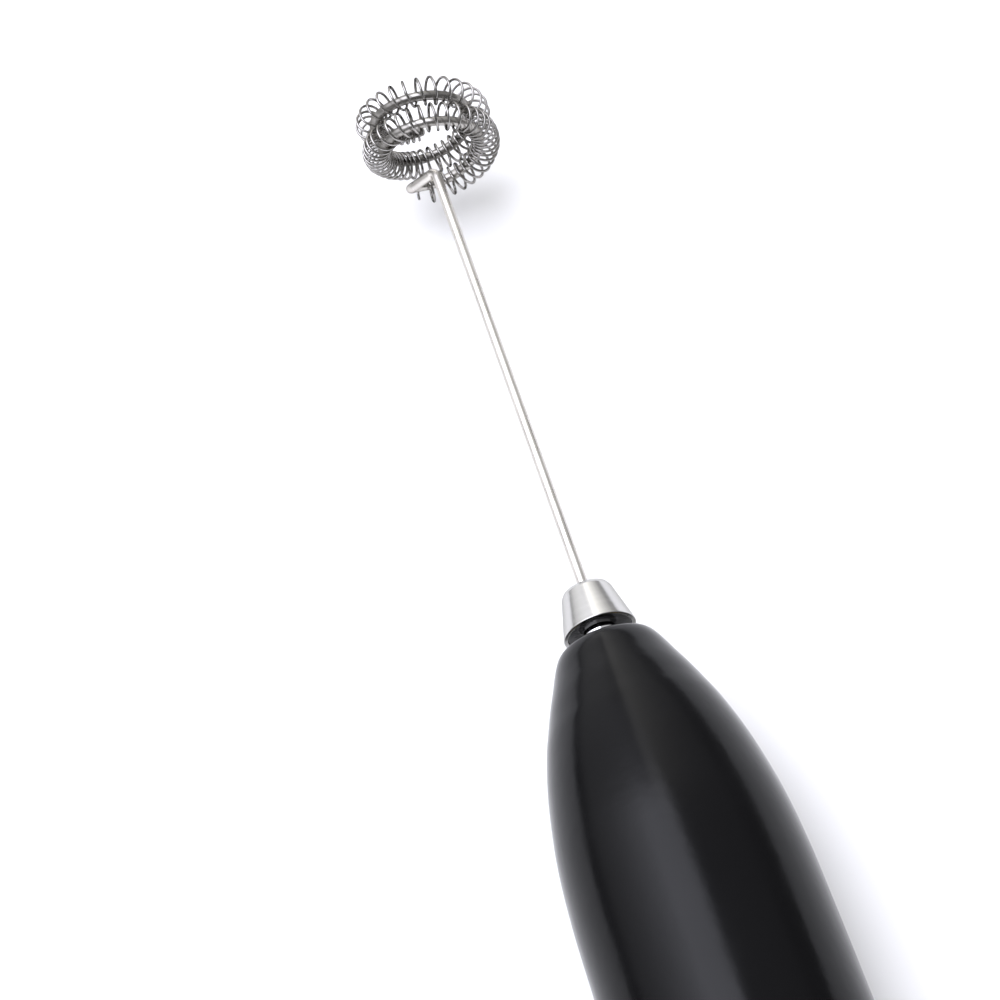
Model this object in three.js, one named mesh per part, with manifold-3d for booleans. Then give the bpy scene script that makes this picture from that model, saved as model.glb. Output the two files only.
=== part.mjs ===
// Handheld milk frother, lying on its side: battery handle with a motor, a plug-on
// spring whisk on a wire shaft, and a pull-off battery cap with a push button.
// Units are millimetres. The drive axis runs along +Y, the whisk at the +Y end.
// Inside the group the axis is x = 0, z = 0 and y = 0 is the rim of the whisk's hub.

import * as THREE from 'three';
import { mergeVertices } from 'three/addons/utils/BufferGeometryUtils.js';
import Module from 'manifold-3d';

const wasm = await Module();
wasm.setup();

// ---------------------------------------------------------------- driving dimensions
const AXIS_HEIGHT = 19.5;          // drive axis above the table; also the handle's half width
const AXIS_SHIFT = -0.803;          // puts the origin under the middle of the whole length

const SEG = 28;                    // facets round the handle, one of them facing down
const FACET = 1 / Math.cos(Math.PI / SEG);
const NOSE_Y = -3.0;               // front face of the handle
const SPLIT_Y = -82.0;             // joint between the handle shell and the battery cap
const TAIL_Y = -116.0;             // end face of the battery cap
const WALL = 2.0;
const SHELL_BORE_R = 17.45;
const CAP_GAP = 0.15;

// [radius, y] of the handle's outside, nose to tail
const NOSE_PROFILE = [
  [7.35, NOSE_Y], [8.05, -3.4], [9.05, -5.0], [10.5, -8.0], [12.2, -12.0], [13.45, -15.0],
  [14.5, -18.0], [15.7, -22.0], [16.7, -26.0], [17.8, -32.0], [18.4, -36.0], [18.85, -40.0],
  [19.2, -43.5], [AXIS_HEIGHT, -47.0],
];
const TAIL_PROFILE = [
  [AXIS_HEIGHT, -92.0], [19.25, -96.0], [18.6, -100.0], [17.3, -104.0], [15.2, -108.0],
  [13.0, -111.0], [10.4, -113.5], [8.3, -115.2], [7.0, TAIL_Y],
];

const SPINDLE_R = 3.2;             // bright drive spindle showing between nose and hub
const HEX_AF = 4.2;                // hexagon that drives the whisk
const HUB_BASE_R = 6.18, HUB_TOP_R = 4.35, HUB_H = 7.9;

const SHAFT_R = 0.9;               // whisk wire, 1.8 mm
const SHAFT_TOP = 98.5;            // where the shaft starts to bend
const RING_RX = 8.745, RING_RZ = 8.219, RING_PITCH = 6.367, RING_Y = 103.319, RING_X = 0.864;
const RING_R = (RING_RX + RING_RZ) / 2;
const RING_PHASE = -51.64 * Math.PI / 180, RING_TILT_X = -0.042, RING_TILT_Z = -0.138;
const RING_FROM = -0.37 * Math.PI, RING_TO = 3.76 * Math.PI;
const COIL_FROM = -0.36 * Math.PI, COIL_TO = 3.72 * Math.PI;
const COIL_R = 2.45, COIL_WIRE_R = 0.25, COIL_HANG = 1.0;

const MOTOR_R = 10.4, MOTOR_FRONT = -15.5, MOTOR_BACK = -39.0;
const CELL_R = 7.1, CELL_X = 7.6, CELL_FRONT = -49.6, CELL_LEN = 50.5, NUB_LEN = 1.3;
const BUTTON_R = 5.3, BUTTON_TRAVEL = 2.0;

// ---------------------------------------------------------------- helpers
function clean(source) {
  let g = source.clone();
  if (g.attributes.normal) g.deleteAttribute('normal');
  if (g.attributes.uv) g.deleteAttribute('uv');
  g = mergeVertices(g, 1e-4);
  const p = g.attributes.position, idx = Array.from(g.index.array), keep = [];
  let volume = 0;
  for (let i = 0; i < idx.length; i += 3) {
    const [a, b, c] = [idx[i], idx[i + 1], idx[i + 2]];
    if (a === b || b === c || a === c) continue;
    keep.push(a, b, c);
    const A = new THREE.Vector3().fromBufferAttribute(p, a);
    const B = new THREE.Vector3().fromBufferAttribute(p, b);
    const C = new THREE.Vector3().fromBufferAttribute(p, c);
    volume += A.dot(B.cross(C));
  }
  if (volume < 0) for (let i = 0; i < keep.length; i += 3) [keep[i], keep[i + 1]] = [keep[i + 1], keep[i]];
  g.setIndex(keep);
  g.computeVertexNormals();
  return g;
}

function toSolid(geometry) {
  const g = clean(geometry);
  return new wasm.Manifold(new wasm.Mesh({
    numProp: 3,
    vertProperties: new Float32Array(g.attributes.position.array),
    triVerts: new Uint32Array(g.index.array),
  }));
}

function fromSolid(solid) {
  const m = solid.getMesh();
  const g = new THREE.BufferGeometry();
  g.setAttribute('position', new THREE.BufferAttribute(new Float32Array(m.vertProperties), 3));
  g.setIndex(Array.from(m.triVerts));
  return clean(g);
}

function join(...geometries) {
  return fromSolid(geometries.map(toSolid).reduce((a, b) => a.add(b)));
}

function cut(base, ...tools) {
  return fromSolid(tools.map(toSolid).reduce((a, b) => a.subtract(b), toSolid(base)));
}

// Revolved profile of [radius, y] about the drive axis, with a facet facing down
function lathe(profile, segments = 16) {
  const pts = profile.map(([r, y]) => new THREE.Vector2(r, y));
  const onAxis = profile[0][0] === 0 && profile[profile.length - 1][0] === 0;
  if (!onAxis) pts.push(pts[0].clone());
  return clean(new THREE.LatheGeometry(pts, segments, Math.PI / segments));
}

const at = (g, x, y, z) => g.translate(x, y, z);
const rod = (r, y0, y1, n = 16) => lathe([[0, y0], [r, y0], [r, y1], [0, y1]], n);
const ring = (ri, ro, y0, y1, n = 16) => lathe([[ri, y0], [ro, y0], [ro, y1], [ri, y1]], n);

function box(x0, x1, y0, y1, z0, z1) {
  return at(new THREE.BoxGeometry(x1 - x0, y1 - y0, z1 - z0), (x0 + x1) / 2, (y0 + y1) / 2, (z0 + z1) / 2);
}

// Flat outline in x, z, drawn as x, y, given a thickness along the drive axis
function plateY(shape, y0, y1, curveSegments = 12) {
  const g = new THREE.ExtrudeGeometry(shape, { depth: y1 - y0, bevelEnabled: false, steps: 1, curveSegments });
  return clean(g.rotateX(Math.PI / 2).translate(0, y1, 0));
}

function circleShape(r, n) {
  const s = new THREE.Shape();
  for (let i = 0; i < n; i++) {
    const a = (i + 0.5) / n * 2 * Math.PI;
    if (i === 0) s.moveTo(r * Math.cos(a), r * Math.sin(a)); else s.lineTo(r * Math.cos(a), r * Math.sin(a));
  }
  s.closePath();
  return s;
}

// Curve through fixed stations, one extrusion step between each pair of stations
class StationCurve extends THREE.Curve {
  constructor(stations) { super(); this.stations = stations; }
  getPoint(t, target = new THREE.Vector3()) {
    const n = this.stations.length - 1, u = Math.min(Math.max(t, 0), 1) * n;
    const i = Math.min(Math.floor(u + 1e-9), n - 1);
    return target.copy(this.stations[i]).lerp(this.stations[i + 1], u - i);
  }
  getTangent(t, target = new THREE.Vector3()) {
    const n = this.stations.length - 1, i = Math.round(Math.min(Math.max(t, 0), 1) * n);
    const a = this.stations[Math.max(i - 1, 0)], b = this.stations[Math.min(i + 1, n)], m = this.stations[i];
    const before = new THREE.Vector3().subVectors(m, a), after = new THREE.Vector3().subVectors(b, m);
    if (before.lengthSq() > 0) before.normalize();
    if (after.lengthSq() > 0) after.normalize();
    return target.addVectors(before, after).normalize();
  }
  getPointAt(u, target) { return this.getPoint(u, target); }
  getTangentAt(u, target) { return this.getTangent(u, target); }
}

function tube(stations, r, sides) {
  return clean(new THREE.ExtrudeGeometry(circleShape(r, sides), {
    extrudePath: new StationCurve(stations), steps: stations.length - 1, bevelEnabled: false,
  }));
}

function helixStations(r0, r1, y0, y1, turns, perTurn, x = 0, z = 0) {
  const out = [], n = Math.round(turns * perTurn);
  for (let i = 0; i <= n; i++) {
    const t = i / n, a = t * turns * 2 * Math.PI, r = r0 + (r1 - r0) * t;
    out.push(new THREE.Vector3(x + r * Math.cos(a), y0 + (y1 - y0) * t, z + r * Math.sin(a)));
  }
  return out;
}

const frother = new THREE.Group();
frother.position.set(0, AXIS_SHIFT, AXIS_HEIGHT);

const materials = {
  shell: { color: 0x1b1b1d, roughness: 0.22, metalness: 0.0 },
  blackPlastic: { color: 0x161617, roughness: 0.4, metalness: 0.0 },
  brushed: { color: 0xb9b6b0, roughness: 0.32, metalness: 1.0 },
  chrome: { color: 0xe6e6e6, roughness: 0.08, metalness: 1.0 },
  steel: { color: 0xc4c0b8, roughness: 0.25, metalness: 1.0 },
  brass: { color: 0xb08d4c, roughness: 0.35, metalness: 1.0 },
  copper: { color: 0xb4622d, roughness: 0.35, metalness: 1.0 },
  rubber: { color: 0x202020, roughness: 0.9, metalness: 0.0 },
  magnet: { color: 0x35353a, roughness: 0.6, metalness: 0.2 },
  carbon: { color: 0x26262a, roughness: 0.7, metalness: 0.2 },
  cream: { color: 0xd8d4c6, roughness: 0.5, metalness: 0.0 },
  cell: { color: 0x2f4a5c, roughness: 0.35, metalness: 0.6 },
  red: { color: 0xa8201c, roughness: 0.5, metalness: 0.0 },
  black: { color: 0x18181a, roughness: 0.5, metalness: 0.0 },
};

function add(name, geometry, material) {
  const mesh = new THREE.Mesh(geometry, new THREE.MeshStandardMaterial(materials[material]));
  mesh.name = name;
  frother.add(mesh);
  return mesh;
}

// ---------------------------------------------------------------- whisk
// Loose ring: two and a bit turns of wire, leaning slightly to the drive axis
function ringPoint(th) {
  const a = RING_PHASE + th, x = RING_RX * Math.cos(a), z = RING_RZ * Math.sin(a);
  return new THREE.Vector3(RING_X + x, RING_Y + RING_PITCH * th / (2 * Math.PI) + RING_TILT_X * x + RING_TILT_Z * z, z);
}
function ringTangent(th) {
  return ringPoint(th + 1e-3).sub(ringPoint(th - 1e-3)).normalize();
}

const wirePath = [new THREE.Vector3(0, 5.3, 0), new THREE.Vector3(0, 60, 0), new THREE.Vector3(0, SHAFT_TOP, 0)];
{
  const outAngle = -137.5 * Math.PI / 180, bend = 1.8, lift = 75 * Math.PI / 180;
  const dx = Math.cos(outAngle), dz = Math.sin(outAngle);
  for (let i = 1; i <= 5; i++) {
    const f = lift * i / 5, r = bend * (1 - Math.cos(f));
    wirePath.push(new THREE.Vector3(dx * r, SHAFT_TOP + bend * Math.sin(f), dz * r));
  }
  const last = wirePath[wirePath.length - 1].clone();
  const dir = new THREE.Vector3(dx * Math.sin(lift), Math.cos(lift), dz * Math.sin(lift));
  const start = last.clone().addScaledVector(dir, 4.9);
  wirePath.push(last.clone().addScaledVector(dir, 2.45), start.clone());
  const end = ringPoint(RING_FROM), tan = ringTangent(RING_FROM), k = 6.0, kEnd = 7.5;
  for (let i = 1; i <= 8; i++) {
    const t = i / 9, t2 = t * t, t3 = t2 * t;
    wirePath.push(new THREE.Vector3()
      .addScaledVector(start, 2 * t3 - 3 * t2 + 1).addScaledVector(dir, k * (t3 - 2 * t2 + t))
      .addScaledVector(end, -2 * t3 + 3 * t2).addScaledVector(tan, kEnd * (t3 - t2)));
  }
  const n = 60;
  for (let i = 0; i <= n; i++) wirePath.push(ringPoint(RING_FROM + (RING_TO - RING_FROM) * i / n));
}
add('whisk_wire', tube(wirePath, SHAFT_R, 6), 'steel');

// Spring wound loosely over the ring; its spacing changes round the ring
const COIL_PITCH = [
  [-0.40, 1.9], [-0.2, 1.6], [0.1, 1.4], [0.2, 1.1], [0.4, 1.05], [0.6, 1.65], [1.0, 1.65], [1.1, 1.2],
  [1.2, 1.05], [1.6, 1.05], [1.7, 1.5], [2.0, 1.5], [2.3, 1.7], [2.6, 1.95], [3.0, 1.95], [3.7, 1.9],
];
function coilPitch(th) {
  const t = th / Math.PI;
  for (let i = 1; i < COIL_PITCH.length; i++) {
    const [a, pa] = COIL_PITCH[i - 1], [b, pb] = COIL_PITCH[i];
    if (t <= b) return pa + (pb - pa) * Math.max(0, (t - a) / (b - a));
  }
  return COIL_PITCH[COIL_PITCH.length - 1][1];
}
const coilPath = [];
{
  const perTurn = 8;
  let th = COIL_FROM, turn = 0;
  while (th < COIL_TO) {
    const psi = 2 * Math.PI * turn, T = ringTangent(th), a = RING_PHASE + th;
    const out = new THREE.Vector3(Math.cos(a), 0, Math.sin(a));
    out.addScaledVector(T, -out.dot(T)).normalize();
    const side = new THREE.Vector3().crossVectors(T, out);
    coilPath.push(ringPoint(th).addScaledVector(out, COIL_HANG + COIL_R * Math.cos(psi)).addScaledVector(side, COIL_R * Math.sin(psi)));
    turn += 1 / perTurn;
    th += coilPitch(th) / perTurn / Math.hypot(RING_R, RING_PITCH / (2 * Math.PI));
  }
}
add('whisk_coil', tube(coilPath, COIL_WIRE_R, 4), 'steel');

add('hub_cone', lathe([
  [HUB_BASE_R - 0.15, 0], [HUB_BASE_R, 0.15], [HUB_TOP_R, 7.1], [4.05, 7.65], [3.55, HUB_H],
  [1.25, HUB_H], [1.25, 7.05], [3.5, 7.05], [5.36, 0],
], 24), 'brushed');

const hexSocket = at(new THREE.CylinderGeometry((HEX_AF + 0.5) / Math.sqrt(3), (HEX_AF + 0.5) / Math.sqrt(3), 6, 6), 0, 2.1, 0);
add('hub_insert', cut(lathe([
  [0, 0.7], [3.0, 0.7], [5.08, 0.3], [3.4, 6.8], [0, 6.8],
], 24), hexSocket, rod(1.2, 4, 8, 16)), 'blackPlastic');

// ---------------------------------------------------------------- drive line
const hexTip = at(new THREE.CylinderGeometry(HEX_AF / Math.sqrt(3), HEX_AF / Math.sqrt(3), 5.8, 6), 0, 1.9, 0);
add('drive_spindle', join(lathe([
  [1.15, -13.6], [2.9, -13.6], [SPINDLE_R, -13.3], [SPINDLE_R, -3.9], [2.75, -3.4], [2.75, -2.3], [SPINDLE_R, -0.6],
  [3.1, -0.5], [0, -0.5], [0, -5.0], [1.15, -5.0],
]), hexTip), 'chrome');

add('motor_shaft', rod(1.0, -43.0, -5.4, 16), 'steel');

{
  const s = new THREE.Shape(), deg = Math.PI / 180;
  const pts = [];
  for (let k = 0; k < 3; k++) {
    const c = 90 + 120 * k;
    for (const [r, a] of [[2.8, -60], [2.8, -25.4], [6.2, -11.2], [6.2, -30], [6.2, -48], [7.6, -48], [7.6, -32], [7.6, -16], [7.6, 0],
      [7.6, 16], [7.6, 32], [7.6, 48], [6.2, 48], [6.2, 30], [6.2, 11.2], [2.8, 25.4]]) {
      pts.push([r * Math.cos((c + a) * deg), r * Math.sin((c + a) * deg)]);
    }
  }
  pts.forEach(([x, y], i) => (i ? s.lineTo(x, y) : s.moveTo(x, y)));
  s.closePath();
  s.holes.push(circleShape(1.15, 16));
  add('rotor_core', plateY(s, -33.0, -22.0), 'steel');
}
for (let k = 0; k < 3; k++) {
  const s = new THREE.Shape();
  s.moveTo(-2.7, -6.6); s.lineTo(-2.0, -7.3); s.lineTo(2.0, -7.3); s.lineTo(2.7, -6.6);
  s.lineTo(2.7, 6.6); s.lineTo(2.0, 7.3); s.lineTo(-2.0, 7.3); s.lineTo(-2.7, 6.6); s.closePath();
  const h = new THREE.Path();
  h.moveTo(-1.5, -5.8); h.lineTo(-1.5, 5.8); h.lineTo(1.5, 5.8); h.lineTo(1.5, -5.8); h.closePath();
  s.holes.push(h);
  const g = new THREE.ExtrudeGeometry(s, { depth: 2.0, bevelEnabled: false, steps: 1 });
  g.translate(0, 0, 3.1).rotateY(-Math.PI * 2 / 3 * k).translate(0, -27.5, 0);
  add(`rotor_winding_${k + 1}`, clean(g), 'copper');
}
add('thrust_washer', ring(1.15, 2.3, -18.3, -17.7, 16), 'cream');
add('commutator', ring(1.15, 2.6, -38.4, -35.4), 'copper');

// ---------------------------------------------------------------- handle
{
  const outer = NOSE_PROFILE.map(([r, y]) => [r * FACET, y]);
  outer.push([AXIS_HEIGHT * FACET, SPLIT_Y]);
  const inner = [
    [SHELL_BORE_R, SPLIT_Y], [SHELL_BORE_R, -47.0], [17.15, -43.5], [16.8, -40.0], [15.8, -32.0], [14.7, -26.0], [13.7, -22.0],
    [12.5, -18.5], [11.5, -16.0], [10.2, -14.0], [8.6, -12.0], [5.2, -11.8], [5.2, -3.9], [4.2, -3.9], [4.2, NOSE_Y],
  ];
  const boss = (s) => box(-2.2, 2.2, -45.3, -40.2, s > 0 ? 12.2 : -17.8, s > 0 ? 17.8 : -12.2);
  const hole = (s) => at(rod(1.4, -46.5, -41.0, 12), 0, 0, 14.4 * s);
  add('front_shell', cut(join(lathe([...outer, ...inner], SEG), boss(1), boss(-1)), hole(1), hole(-1)), 'shell');
}
add('nose_bush', ring(3.28, 5.05, -9.8, -4.05), 'brass');
add('nose_seal', ring(3.32, 5.05, -11.6, -10.0), 'rubber');

add('motor_can', lathe([
  [3.12, MOTOR_FRONT - 0.8], [3.12, MOTOR_FRONT], [9.6, MOTOR_FRONT], [MOTOR_R, MOTOR_FRONT - 0.8], [MOTOR_R, MOTOR_BACK],
  [9.7, MOTOR_BACK], [9.7, MOTOR_FRONT - 0.8],
], 20), 'brushed');
add('front_bearing', ring(1.08, 3.0, -17.2, -14.2), 'brass');
add('rear_bearing', ring(1.08, 3.0, -42.2, -39.4), 'brass');
add('motor_end_cap', lathe([
  [3.15, -41.4], [MOTOR_R, -41.4], [MOTOR_R, -39.2], [3.15, -39.2],
], 20), 'cream');
for (const [name, mid] of [['magnet_upper', 90], ['magnet_lower', 270]]) {
  const s = new THREE.Shape(), deg = Math.PI / 180, n = 9, span = 62;
  for (let i = 0; i <= n; i++) {
    const a = (mid - span + 2 * span * i / n) * deg;
    if (i) s.lineTo(9.45 * Math.cos(a), 9.45 * Math.sin(a)); else s.moveTo(9.45 * Math.cos(a), 9.45 * Math.sin(a));
  }
  for (let i = n; i >= 0; i--) {
    const a = (mid - span + 2 * span * i / n) * deg;
    s.lineTo(8.1 * Math.cos(a), 8.1 * Math.sin(a));
  }
  s.closePath();
  add(name, plateY(s, -35.0, -20.0), 'magnet');
}
for (const [name, s] of [['brush_left', -1], ['brush_right', 1]]) {
  const block = s > 0 ? box(2.75, 4.1, -38.1, -36.0, -1, 1) : box(-4.1, -2.75, -38.1, -36.0, -1, 1);
  const leaf = s > 0 ? box(3.9, 4.4, -38.9, -35.6, -1.2, 1.2) : box(-4.4, -3.9, -38.9, -35.6, -1.2, 1.2);
  add(name, join(block, leaf), 'carbon');
}
add('motor_terminal_left', clean(box(-7.25, -6.75, -45.0, -41.6, -1.3, 1.3)), 'brass');
add('motor_terminal_right', clean(box(6.75, 7.25, -45.0, -41.6, -1.3, 1.3)), 'brass');
add('motor_sleeve', lathe([[10.6, -24.2], [13.4, -24.2], [13.9, -24.8], [13.9, -37.0], [10.6, -37.0]], 20), 'rubber');

{
  const slot = (x) => box(x - 1.5, x + 1.5, -48, -45, -1.5, 1.5);
  const screwHole = (s) => at(rod(1.4, -48, -45, 12), 0, 0, 14.4 * s);
  add('chassis', cut(
    join(rod(16.9, -47.0, -45.6, SEG), box(-0.28, 0.28, -97.0, -46.8, -7.9, 7.9), box(-11.5, 11.5, -97.0, -46.8, -9.1, -7.7)),
    slot(11.4), slot(-11.4), screwHole(1), screwHole(-1),
  ), 'cream');
}
for (const [i, s] of [[1, 1], [2, -1]]) {
  add(`chassis_screw_${i}`, at(lathe([[0, -48.6], [2.0, -48.6], [2.4, -47.3], [1.05, -47.25], [1.05, -42.2], [0, -41.4]], 12), 0, 0, 14.4 * s), 'steel');
}

const cellBody = (front, nubFront) => {
  const back = front - CELL_LEN, r = CELL_R;
  const p = nubFront
    ? [[0, back], [r - 0.4, back], [r, back + 0.4], [r, front - NUB_LEN - 0.4], [r - 0.4, front - NUB_LEN], [2.7, front - NUB_LEN], [2.7, front - 0.2], [2.4, front], [0, front]]
    : [[0, back], [2.4, back], [2.7, back + 0.2], [2.7, back + NUB_LEN], [r - 0.4, back + NUB_LEN], [r, back + NUB_LEN + 0.4], [r, front - 0.4], [r - 0.4, front], [0, front]];
  return lathe(p);
};
add('battery_left', at(cellBody(CELL_FRONT, false), -CELL_X, 0, 0), 'cell');
add('battery_right', at(cellBody(CELL_FRONT, true), CELL_X, 0, 0), 'cell');

// Cell contacts: a sprung one at each cell's flat end, a domed plate at each nub
add('front_spring_contact', join(
  box(-12.4, -3.4, -47.8, -47.35, -4, 4),
  tube(helixStations(3.4, 1.6, -47.7, -49.25, 2.25, 9, -CELL_X, 0), 0.25, 4),
), 'steel');
add('front_plate_contact', join(box(3.4, 12.4, -47.8, -47.35, -4, 4),
  at(lathe([[0, -47.6], [2.8, -47.6], [1.6, -49.1], [0, -49.35]], 12), CELL_X, 0, 0)), 'steel');

const lead = (s) => tube([
  [7.5, -43.4, 0], [8.6, -43.5, 0], [10.0, -43.6, 0], [11.0, -44.2, 0], [11.4, -45.2, 0], [11.4, -46.2, 0], [11.4, -47.1, 0],
].map(([x, y, z]) => new THREE.Vector3(x * s, y, z)), 0.7, 8);
add('lead_red', lead(1), 'red');
add('lead_black', lead(-1), 'black');

// ---------------------------------------------------------------- battery cap
{
  const y0 = SPLIT_Y - CAP_GAP;
  const outer = [[AXIS_HEIGHT * FACET, y0], ...TAIL_PROFILE.map(([r, y]) => [r * FACET, y])];
  const inner = [[5.7, TAIL_Y], [5.7, -113.8], [7.7, -113.8], [7.7, -112.4], [10.9, -110.4], [13.1, -107.8], [14.95, -104.8],
    [16.6, -100.0], [17.25, -96.0], [17.5, -92.0], [17.5, y0]];
  const boss = (s) => at(rod(2.6, -110.4, -105.8, 16), 0, 0, 10.2 * s);
  const hole = (s) => at(rod(1.4, -109.9, -105, 12), 0, 0, 10.2 * s);
  add('tail_cap', cut(join(lathe([...outer, ...inner], SEG), boss(1), boss(-1)), hole(1), hole(-1)), 'shell');

  const insert = lathe([
    [17.25, -75.0], [17.25, -76.8], [15.95, -76.8], [15.95, -78.6], [17.25, -78.6], [17.25, -92.0], [16.95, -96.0], [16.3, -100.0],
    [14.8, -103.6], [14.0, -105.4], [0, -105.4], [0, -103.6], [13.6, -103.6], [15.3, -100.9], [15.4, -92.0], [15.4, -75.0],
  ], SEG);
  const through = (x, z, r) => at(rod(r, -107, -102, 12), x, 0, z);
  add('cap_insert', cut(insert, through(0, 10.2, 1.4), through(0, -10.2, 1.4), through(3, 0, 1.1), through(-3, 0, 1.1)), 'blackPlastic');
}
{
  const p = [];
  for (let i = 0; i < 6; i++) {
    const a = (i + 0.5) / 6 * 2 * Math.PI;
    p.push([16.66 + 0.6 * Math.cos(a), -77.7 + 0.6 * Math.sin(a)]);
  }
  add('cap_o_ring', lathe(p, SEG), 'rubber');
}
add('cap_spring_contact', join(box(4.6, 12.2, -103.4, -103.0, -3.6, 3.6),
  tube(helixStations(3.3, 1.6, -103.1, -100.5, 2.75, 9, CELL_X, 0), 0.25, 4)), 'steel');
add('cap_plate_contact', join(box(-12.2, -4.6, -103.4, -103.0, -3.6, 3.6),
  at(lathe([[0, -100.35], [1.8, -100.7], [3.0, -103.2], [0, -103.2]], 12), -CELL_X, 0, 0)), 'steel');
for (const [name, s] of [['switch_post_left', -1], ['switch_post_right', 1]]) {
  add(name, at(lathe([[0, -107.2], [0.8, -107.2], [0.8, -103.4], [1.3, -103.3], [1.3, -102.8], [0, -102.8]], 12), 3 * s, 0, 0), 'brass');
}
for (const [i, s] of [[1, 1], [2, -1]]) {
  add(`cap_screw_${i}`, at(lathe([[0, -109.3], [1.05, -108.6], [1.05, -103.35], [2.4, -103.3], [2.0, -101.9], [0, -101.9]], 12), 0, 0, 10.2 * s), 'steel');
}

// ---------------------------------------------------------------- push button
add('button', lathe([
  [0, -117.3], [2.6, -117.2], [4.4, -116.9], [BUTTON_R, -116.2], [BUTTON_R, -113.5], [7.0, -113.5], [7.0, -112.3], [4.1, -112.3], [4.1, -110.2], [0, -110.2],
], 20), 'blackPlastic');
add('contact_disc', lathe([[0, -110.0], [4.3, -110.0], [4.3, -109.6], [0, -109.5]], 16), 'brass');
add('button_spring', tube(helixStations(5.4, 5.4, -105.8, -111.95, 4, 9), 0.28, 4), 'steel');

export default frother;
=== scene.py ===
import math

import bpy
import numpy as np
from mathutils import Matrix, Vector


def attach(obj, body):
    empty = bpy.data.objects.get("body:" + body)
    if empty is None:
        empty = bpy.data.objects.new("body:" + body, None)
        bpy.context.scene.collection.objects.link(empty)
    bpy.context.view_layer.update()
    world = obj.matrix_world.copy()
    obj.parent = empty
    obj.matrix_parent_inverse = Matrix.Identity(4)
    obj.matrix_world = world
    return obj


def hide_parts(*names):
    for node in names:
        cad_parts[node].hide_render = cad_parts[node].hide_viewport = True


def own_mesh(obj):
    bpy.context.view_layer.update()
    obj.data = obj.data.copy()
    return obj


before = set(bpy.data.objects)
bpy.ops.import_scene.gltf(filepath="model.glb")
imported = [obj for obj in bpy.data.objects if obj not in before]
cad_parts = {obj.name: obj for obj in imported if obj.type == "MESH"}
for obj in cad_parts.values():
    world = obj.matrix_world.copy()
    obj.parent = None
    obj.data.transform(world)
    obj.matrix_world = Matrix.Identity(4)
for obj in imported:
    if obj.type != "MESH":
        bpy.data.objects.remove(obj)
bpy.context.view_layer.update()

MM = 0.001
AXIS = np.array([0.0, -0.803, 19.5])      # where the drive axis and the hub's rim lie in the row frame, mm
scene = bpy.context.scene
scene.view_settings.view_transform = "Standard"
scene.view_settings.look = "None"
scene.view_settings.exposure = 0.0
scene.view_settings.gamma = 1.0


# ------------------------------------------------------------------ camera and light
def rotation(rotvec):
    v = np.array(rotvec, float)
    a = np.linalg.norm(v)
    k = v / a
    K = np.array([[0, -k[2], k[1]], [k[2], 0, -k[0]], [-k[1], k[0], 0]])
    return np.eye(3) + math.sin(a) * K + (1 - math.cos(a)) * K @ K


cam_data = bpy.data.cameras.new("camera")
cam = bpy.data.objects.new("camera", cam_data)
scene.collection.objects.link(cam)
R = rotation([2.58304637, -0.44111676, -0.14893836])
cam_at = (np.array([0.0, -168.05, 338.46]) + AXIS) * MM
m = Matrix.Identity(4)
for i in range(3):
    m[i][0], m[i][1], m[i][2], m[i][3] = R[0][i], -R[1][i], -R[2][i], cam_at[i]
cam.matrix_world = m
cam_data.sensor_width = 36.0
cam_data.lens = 84.006
cam_data.clip_start, cam_data.clip_end = 0.01, 20.0
scene.camera = cam


def area_light(name, at, look_at, size_x, size_y, power, colour=(1, 1, 1), glossy=True, spread=180):
    data = bpy.data.lights.new(name, "AREA")
    data.shape = "RECTANGLE"
    data.size, data.size_y = size_x, size_y
    data.energy = power
    data.color = colour
    data.spread = math.radians(spread)
    o = bpy.data.objects.new(name, data)
    scene.collection.objects.link(o)
    o.location = at
    o.rotation_mode = "QUATERNION"
    o.rotation_quaternion = (Vector(look_at) - Vector(at)).to_track_quat("-Z", "Y")
    o.visible_glossy = glossy
    return o


area_light("overhead_fill", (0.1, 0.1, 1.6), (0, 0, 0), 2.2, 2.2, 9.0, (1.0, 1.0, 0.985), glossy=False)


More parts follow.
